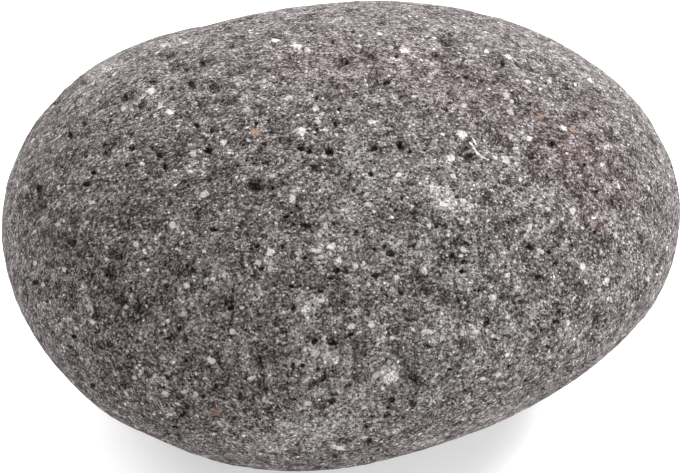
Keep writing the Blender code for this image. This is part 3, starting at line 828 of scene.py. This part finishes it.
def fill_between(skin):
    """Evenly spread points wherever nothing else is."""
    draw = np.random.default_rng(SEED)
    u = even_directions(BASE_COUNT)
    spacing = math.sqrt(4 * math.pi * (HALF_AXES.prod() ** (2 / 3)) * AREA_ALLOWANCE / BASE_COUNT)
    u = unit(u + draw.normal(0, BASE_SHIFT * spacing, u.shape) / HALF_AXES)
    places = u * HALF_AXES
    tree = tree_of(places)
    free = np.ones(len(u), bool)
    margin = BASE_MARGIN * spacing
    for (centre, rim), middle, radius in zip(skin.rims, skin.middles, skin.radii):
        near = [i for _, i, _ in tree.find_range(middle, radius + margin)]
        if not near:
            continue
        along, across = tangents(centre)
        rim_gap = rim * HALF_AXES - middle
        rx, ry = rim_gap @ along, rim_gap @ across
        gap = places[near] - middle
        x, y = gap @ along, gap @ across
        limit = np.interp(np.arctan2(y, x), np.arctan2(ry, rx), np.hypot(rx, ry), period=2 * math.pi)
        free[np.array(near)[np.hypot(x, y) < limit + margin]] = False
    free &= -u[:, 2] < math.cos(POLE_MARGIN * POLE_RADIUS / HALF_LENGTH)
    skin.add(u[free])


def dimples(points):
    """How deep each of these points lies in the shallow, worn dimples all over the stone."""
    draw = random.Random(DIMPLE_SEED)
    tree = tree_of(points)
    depths = np.zeros(len(points))
    for _ in range(DIMPLE_COUNT):
        u, radius = scattered(draw, DIMPLE_SIZES)
        middle = body_points(u[None])[0]
        depth = radius * draw.uniform(*DIMPLE_DEPTHS)
        for _, i, gap in tree.find_range(middle, DIMPLE_REACH * radius):
            depths[i] += depth * math.exp(-((gap / radius) ** 2) * DIMPLE_FALL)
    return depths


def zone_strengths(u, zones):
    """How strongly each of these directions lies in soft-edged zones of the photograph."""
    strengths = np.zeros(len(u))
    for x, y, radius, percent in zones:
        gap = np.linalg.norm(u * HALF_AXES - seen(x, y) * HALF_AXES, axis=1) / (radius * PIXEL)
        strengths += percent / 100 * np.exp(-(gap**2) / 2)
    return strengths


def skin_faces(skin, u):
    """Triangles between the points, found on the flat map, and one face in the ring at the pole."""
    flat_map = [Vector(place) for place in flattened(u).tolist()]
    outside_the_ring, finest = 1, 1e-9
    _, _, triangles, origins, _, _ = geometry.delaunay_2d_cdt(
        flat_map, skin.edges, [skin.pole_ring], outside_the_ring, finest
    )
    return [[origins[i][0] for i in triangle] for triangle in triangles] + [skin.pole_ring[::-1]]


def make_skin():
    skin = Skin()
    draw = random.Random(SPOT_SEED)
    add_seen_spots(skin, draw)
    add_clouds(skin, draw)
    add_random_spots(skin, draw)
    fill_between(skin)

    u, depth, pit, patch = (np.array(column) for column in zip(*skin.points))
    points = body_points(u)
    grit = sum(height * waviness(points, spacing) for height, spacing in GRIT)
    sunk = dimples(points)
    points += outward(u) * (grit - sunk)[:, None]
    points[:, 2] = np.maximum(points[:, 2], FOOT)
    points -= outward(u) * depth[:, None]
    points[:, 2] = np.maximum(points[:, 2], FOOT)
    points += MIDDLE

    mesh = bpy.data.meshes.new("pebble_skin")
    mesh.from_pydata(points.tolist(), [], skin_faces(skin, u))
    colours = np.array(skin.colours + [(*WHITE, 0.0)])[patch]
    mesh.attributes.new("grain", "FLOAT_COLOR", "POINT").data.foreach_set("color", colours.ravel())
    # The pit value: painted shade in pits and pores, and in dimples, stronger the deeper they are.
    values = {
        "pit": pit + DIMPLE_PAINTED_SHADE * sunk / sunk.max(),
        "cloud": zone_strengths(u, CLOUDS),
        "dark": zone_strengths(u, DARK),
        "warm": zone_strengths(u, WARM),
    }
    for name, value in values.items():
        mesh.attributes.new(name, "FLOAT", "POINT").data.foreach_set("value", value)
    mesh.shade_smooth()
    mesh.validate()
    piece = bpy.data.objects.new("pebble_skin", mesh)
    bpy.context.scene.collection.objects.link(piece)
    return piece


# ---------------- materials

# Tones go from 0 for black to 1 for white, as the eye judges it.
TONE = 0.335
DARKEST = 0.05
HAZE = 0.11
HAZE_DAPPLING = (0.3, 0.6, 0.6, 1.2)  # from a range of the noise to a range of strength
DARK_SHADE = 0.080
# Painted shade in pits, pores and dimples: how much it takes off the tone where the pit value is full.
PIT_PAINTED_SHADE = 0.19
PIT_FADE = (0.1, 0.6)  # the pit values between which the shade fades in
DISPLAY_GAMMA = 2.2

# How much redder than grey, all over, which is less where it is pale, and in warm zones, how much
# bluer, and how far both change at random.
ALL_RED = (0.0287, -0.018)
WARM_RED = 0.018
ALL_BLUE = -0.002
HUE_SPREAD = 0.03
RED_SIZE, BLUE_SIZE = 1.0, 0.7  # mm

# The grains' outlines are shaken: size of the noise and strength, in mm.
JITTER_SIZE = 0.4
JITTER = 0.25

# Mottling and grain of the ground: size in mm, detail, strength, and how far it stands up in mm.
NOISES = (
    ("broad", 6.0, 2.0, 0.10, 0.0),
    ("patches", 1.6, 1.0, 0.34, 0.0),
    ("lumps", 0.9, 1.0, 0.28, 0.14),
    ("specks", 0.45, 1.0, 0.23, 0.10),
    ("middling", 0.25, 1.0, 0.30, 0.04),
    ("fine", 0.14, 1.0, 0.35, 0.02),
)

# Cells of even tone: size in mm, strength, and slope.
MOSAIC = (
    (0.34, 0.10, 0.3),
    (0.19, 0.32, 0.4),
)

# Pale grains, partly painted glints, above all the finest: size of the cells, least and largest radius
# and width of the soft edge in mm, strength, the power that makes the brightest rare, and slope.
PALE_GRAINS_AND_PAINTED_GLINTS = (
    (0.25, 0.0, 0.12, 0.03, 0.32, 1.5, 0.6),
    (0.42, 0.0, 0.20, 0.06, 0.34, 2.0, 0.6),
    (0.95, 0.0, 0.34, 0.10, 0.30, 2.0, 0.4),
)

# Dark pores, their darkness painted shade: size of the cells, least and largest radius and width of the
# soft edge in mm, strength of that shade, and slope.
PORES_WITH_PAINTED_SHADE = (
    (0.22, -0.03, 0.085, 0.025, 0.42, 0.7),
    (0.90, -0.20, 0.24, 0.06, 0.16, 0.6),
)

# Crystals and rust flecks: how far the noise breaks up their edges, the covers between which they
# fade in, how uneven they are, and how rough the ground and they are.
EDGE_BREAKING = 0.5
EDGE_COVERS = (0.32, 0.55)
DAPPLING = (0.3, 0.7, 0.75, 1.25)
ROUGHNESSES = (0.85, 0.60)
SPECULAR = 0.2

FLOOR_COLOUR = (0.86, 0.86, 0.86, 1)
FLOOR_ROUGHNESS = 0.6
FLOOR_GLOW = 0.4  # keeps the ground as white as the photograph's


class Nodes:
    """Short forms for building a material's nodes."""

    def __init__(self, name):
        self.material = bpy.data.materials.new(name)
        self.material.use_nodes = True
        self.tree = self.material.node_tree
        self.shader = self.tree.nodes["Principled BSDF"]

    def make(self, kind, settings=None, **inputs):
        """A node. An input is named, or numbered as in _0."""
        node = self.tree.nodes.new(kind)
        for key, value in (settings or {}).items():
            setattr(node, key, value)
        self.put(node, **inputs)
        return node

    def put(self, node, **inputs):
        for key, value in inputs.items():
            key = int(key[1:]) if key[0] == "_" else key.replace("_", " ")
            if isinstance(value, bpy.types.NodeSocket):
                self.tree.links.new(value, node.inputs[key])
            else:
                node.inputs[key].default_value = value

    def math(self, operation, a, b=0.0, c=0.0, clamp=False):
        settings = {"operation": operation, "use_clamp": clamp}
        return self.make("ShaderNodeMath", settings, _0=a, _1=b, _2=c).outputs[0]

    def plus(self, value, more, factor):
        """The value and more times the factor."""
        return self.math("MULTIPLY_ADD", more, factor, value)

    def vectors(self, operation, a, **inputs):
        return self.make("ShaderNodeVectorMath", {"operation": operation}, _0=a, **inputs).outputs[0]

    def centred(self, value):
        """A value from 0 to 1, moved to lie around 0."""
        return self.math("SUBTRACT", value, 0.5)

    def remap(self, value, low, high, to_low=0.0, to_high=1.0):
        """The value moved from one range to another, and kept inside it."""
        made = self.make("ShaderNodeMapRange", None, _0=value, _1=low, _2=high, _3=to_low, _4=to_high)
        return made.outputs[0]

    def attribute(self, name):
        return self.make("ShaderNodeAttribute", {"attribute_name": name})

    def cells(self, where, size):
        """Cells about this many millimetres across."""
        return self.make("ShaderNodeTexVoronoi", {"feature": "F1"}, Vector=where, Scale=1 / size)

    def parts(self, colour):
        return self.make("ShaderNodeSeparateColor", None, Color=colour).outputs

    def cloudy(self, where, size, detail=2.0, output="Fac"):
        """Smooth noise from about 0.25 to 0.75, with a grain of about this many millimetres."""
        node = self.make("ShaderNodeTexNoise", None, Vector=where, Scale=1 / size, Detail=detail)
        return node.outputs[output]

    def mix(self, share, a, b, blend="MIX"):
        settings = {"data_type": "RGBA", "blend_type": blend}
        return self.make("ShaderNodeMix", settings, _0=share, _6=a, _7=b).outputs[2]


def grains(n, where, size, least, most, soft):
    """Round grains, one to a cell: cover, own random value, and height as a cone."""
    cell = n.cells(where, size)
    random_parts = n.parts(cell.outputs["Color"])
    reach = n.remap(random_parts[0], 0.0, 1.0, least / size, most / size)
    inside = n.math("SUBTRACT", reach, cell.outputs["Distance"])
    cover = n.math("DIVIDE", inside, soft / size, clamp=True)
    cone = n.math("MULTIPLY", n.math("MAXIMUM", inside, 0.0), size)
    return cover, random_parts[1], cone


def ground(n, where):
    """The ground's tone, its height in mm, and its layers of noise."""
    tone, height, layers = TONE, 0.0, {}
    for name, size, detail, strength, rise in NOISES:
        layers[name] = n.cloudy(where, size, detail)
        tone = n.plus(tone, n.centred(layers[name]), strength)
        height = n.plus(height, layers[name], rise)
    for size, strength, slope in MOSAIC:
        cell = n.cells(where, size)
        value = n.parts(cell.outputs["Color"])[0]
        tone = n.plus(tone, n.centred(value), strength)
        height = n.plus(height, cell.outputs["Distance"], -size * slope)
    return tone, height, layers


def with_grains(n, where, tone, height, layers):
    """The tone and height with pale grains and painted glints, clouds, dark zones, fine pores and pits. The
    pores and pits are darkened with painted shade.
    """
    # Pale grains and painted glints: brighter tone, and raised as cones in the bump.
    for size, least, most, soft, strength, power, slope in PALE_GRAINS_AND_PAINTED_GLINTS:
        cover, value, cone = grains(n, where, size, least, most, soft)
        bright = n.math("MULTIPLY", cover, n.math("POWER", value, power))
        tone = n.plus(tone, bright, strength)
        height = n.plus(height, cone, slope)
    pit, cloud, dark = (n.attribute(name).outputs["Fac"] for name in ("pit", "cloud", "dark"))
    haze = n.math("MULTIPLY", cloud, n.remap(layers["specks"], *HAZE_DAPPLING))
    tone = n.plus(tone, haze, HAZE)
    tone = n.plus(tone, dark, -DARK_SHADE)
    # Fine pores: painted shade in the tone, and sunk as cones in the bump.
    for size, least, most, soft, strength, slope in PORES_WITH_PAINTED_SHADE:
        cover, _, cone = grains(n, where, size, least, most, soft)
        tone = n.plus(tone, cover, -strength)
        height = n.plus(height, cone, -slope)
    # Painted shade where the pit value is high: in pits, pores and dimples.
    tone = n.plus(tone, n.remap(pit, *PIT_FADE), -PIT_PAINTED_SHADE)
    return n.math("MAXIMUM", tone, DARKEST), height


def coloured(n, where, tone):
    """The tone as a colour, a little redder than grey."""
    red = n.plus(ALL_RED[0], tone, ALL_RED[1])
    red = n.plus(red, n.centred(n.cloudy(where, RED_SIZE)), HUE_SPREAD)
    red = n.plus(red, n.attribute("warm").outputs["Fac"], WARM_RED)
    blue = n.plus(ALL_BLUE, n.centred(n.cloudy(where, BLUE_SIZE)), HUE_SPREAD)
    channels = {"_0": n.math("ADD", tone, red), "_1": tone, "_2": n.math("ADD", tone, blue)}
    colour = n.make("ShaderNodeCombineColor", None, **channels).outputs[0]
    return n.make("ShaderNodeGamma", None, Color=colour, Gamma=DISPLAY_GAMMA).outputs[0]


def stone_material():
    n = Nodes("grey_stone")
    where = n.make("ShaderNodeTexCoord").outputs["Object"]
    where = n.vectors("SCALE", where, Scale=1 / MM)
    jitter = n.cloudy(where, JITTER_SIZE, 1.0, "Color")
    jitter = n.vectors("SUBTRACT", jitter, _1=(0.5, 0.5, 0.5))
    shaken = n.vectors("ADD", where, _1=n.vectors("SCALE", jitter, Scale=JITTER))

    tone, height, layers = ground(n, where)
    tone, height = with_grains(n, shaken, tone, height, layers)
    colour = coloured(n, shaken, tone)

    spot = n.attribute("grain").outputs
    cover = n.plus(spot["Alpha"], n.centred(layers["middling"]), EDGE_BREAKING)
    cover = n.remap(cover, *EDGE_COVERS)
    dapples = n.remap(layers["specks"], *DAPPLING)
    colour = n.mix(cover, colour, n.mix(1.0, spot["Color"], dapples, "MULTIPLY"))

    roughness = n.remap(cover, 0.0, 1.0, *ROUGHNESSES)
    bump = n.make("ShaderNodeBump", None, Strength=1.0, Distance=MM, Height=height).outputs[0]
    n.put(n.shader, Base_Color=colour, Roughness=roughness, Specular_IOR_Level=SPECULAR, Normal=bump)
    return n.material


def floor_material():
    n = Nodes("pale_floor")
    n.put(n.shader, Base_Color=FLOOR_COLOUR, Roughness=FLOOR_ROUGHNESS)
    n.put(n.shader, Emission_Color=(1, 1, 1, 1), Emission_Strength=FLOOR_GLOW)
    return n.material


# ---------------- the studio

FLOOR_REACH = 3.0  # metres
SOFTBOX_DISTANCE = 0.8
SKY_BRIGHTNESS = 0.45

# Softboxes: azimuth and elevation in degrees, size in metres, and brightness in watts.
SOFTBOXES = (
    (12, 42, 0.25, 8.3),  # key, upper right
    (-42, 18, 0.4, 2.7),  # right front
    (75, 22, 0.5, 7.0),  # behind
    (140, 40, 0.5, 3.6),  # upper left, behind
    (-95, 10, 0.7, 0.6),  # front, low
    (-165, 20, 0.6, 0.6),  # left
)


def make_floor():
    mesh = bpy.data.meshes.new("floor")
    corners = [(x * FLOOR_REACH, y * FLOOR_REACH, 0) for x, y in ((-1, -1), (1, -1), (1, 1), (-1, 1))]
    mesh.from_pydata(corners, [], [(0, 1, 2, 3)])
    mesh.materials.append(floor_material())
    floor = bpy.data.objects.new("floor", mesh)
    bpy.context.scene.collection.objects.link(floor)


def make_lights():
    for number, (azimuth, elevation, size, watts) in enumerate(SOFTBOXES):
        data = bpy.data.lights.new(f"softbox_{number}", "AREA")
        data.size = size
        data.energy = watts
        light = bpy.data.objects.new(data.name, data)
        toward = Vector(direction(azimuth, elevation))
        light.location = STONE_MIDDLE + toward * SOFTBOX_DISTANCE
        light.rotation_euler = toward.to_track_quat("Z", "Y").to_euler()
        bpy.context.scene.collection.objects.link(light)
    world = bpy.data.worlds.new("studio")
    world.use_nodes = True
    background = world.node_tree.nodes["Background"]
    background.inputs["Color"].default_value = (1, 1, 1, 1)
    background.inputs["Strength"].default_value = SKY_BRIGHTNESS
    bpy.context.scene.world = world
    bpy.context.scene.view_settings.view_transform = "Standard"


# ---------------- all of it

make_camera()
skin_piece = make_skin()
skin_piece.data.materials.append(stone_material())
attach(skin_piece, "root")
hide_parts("pebble")
make_floor()
make_lights()
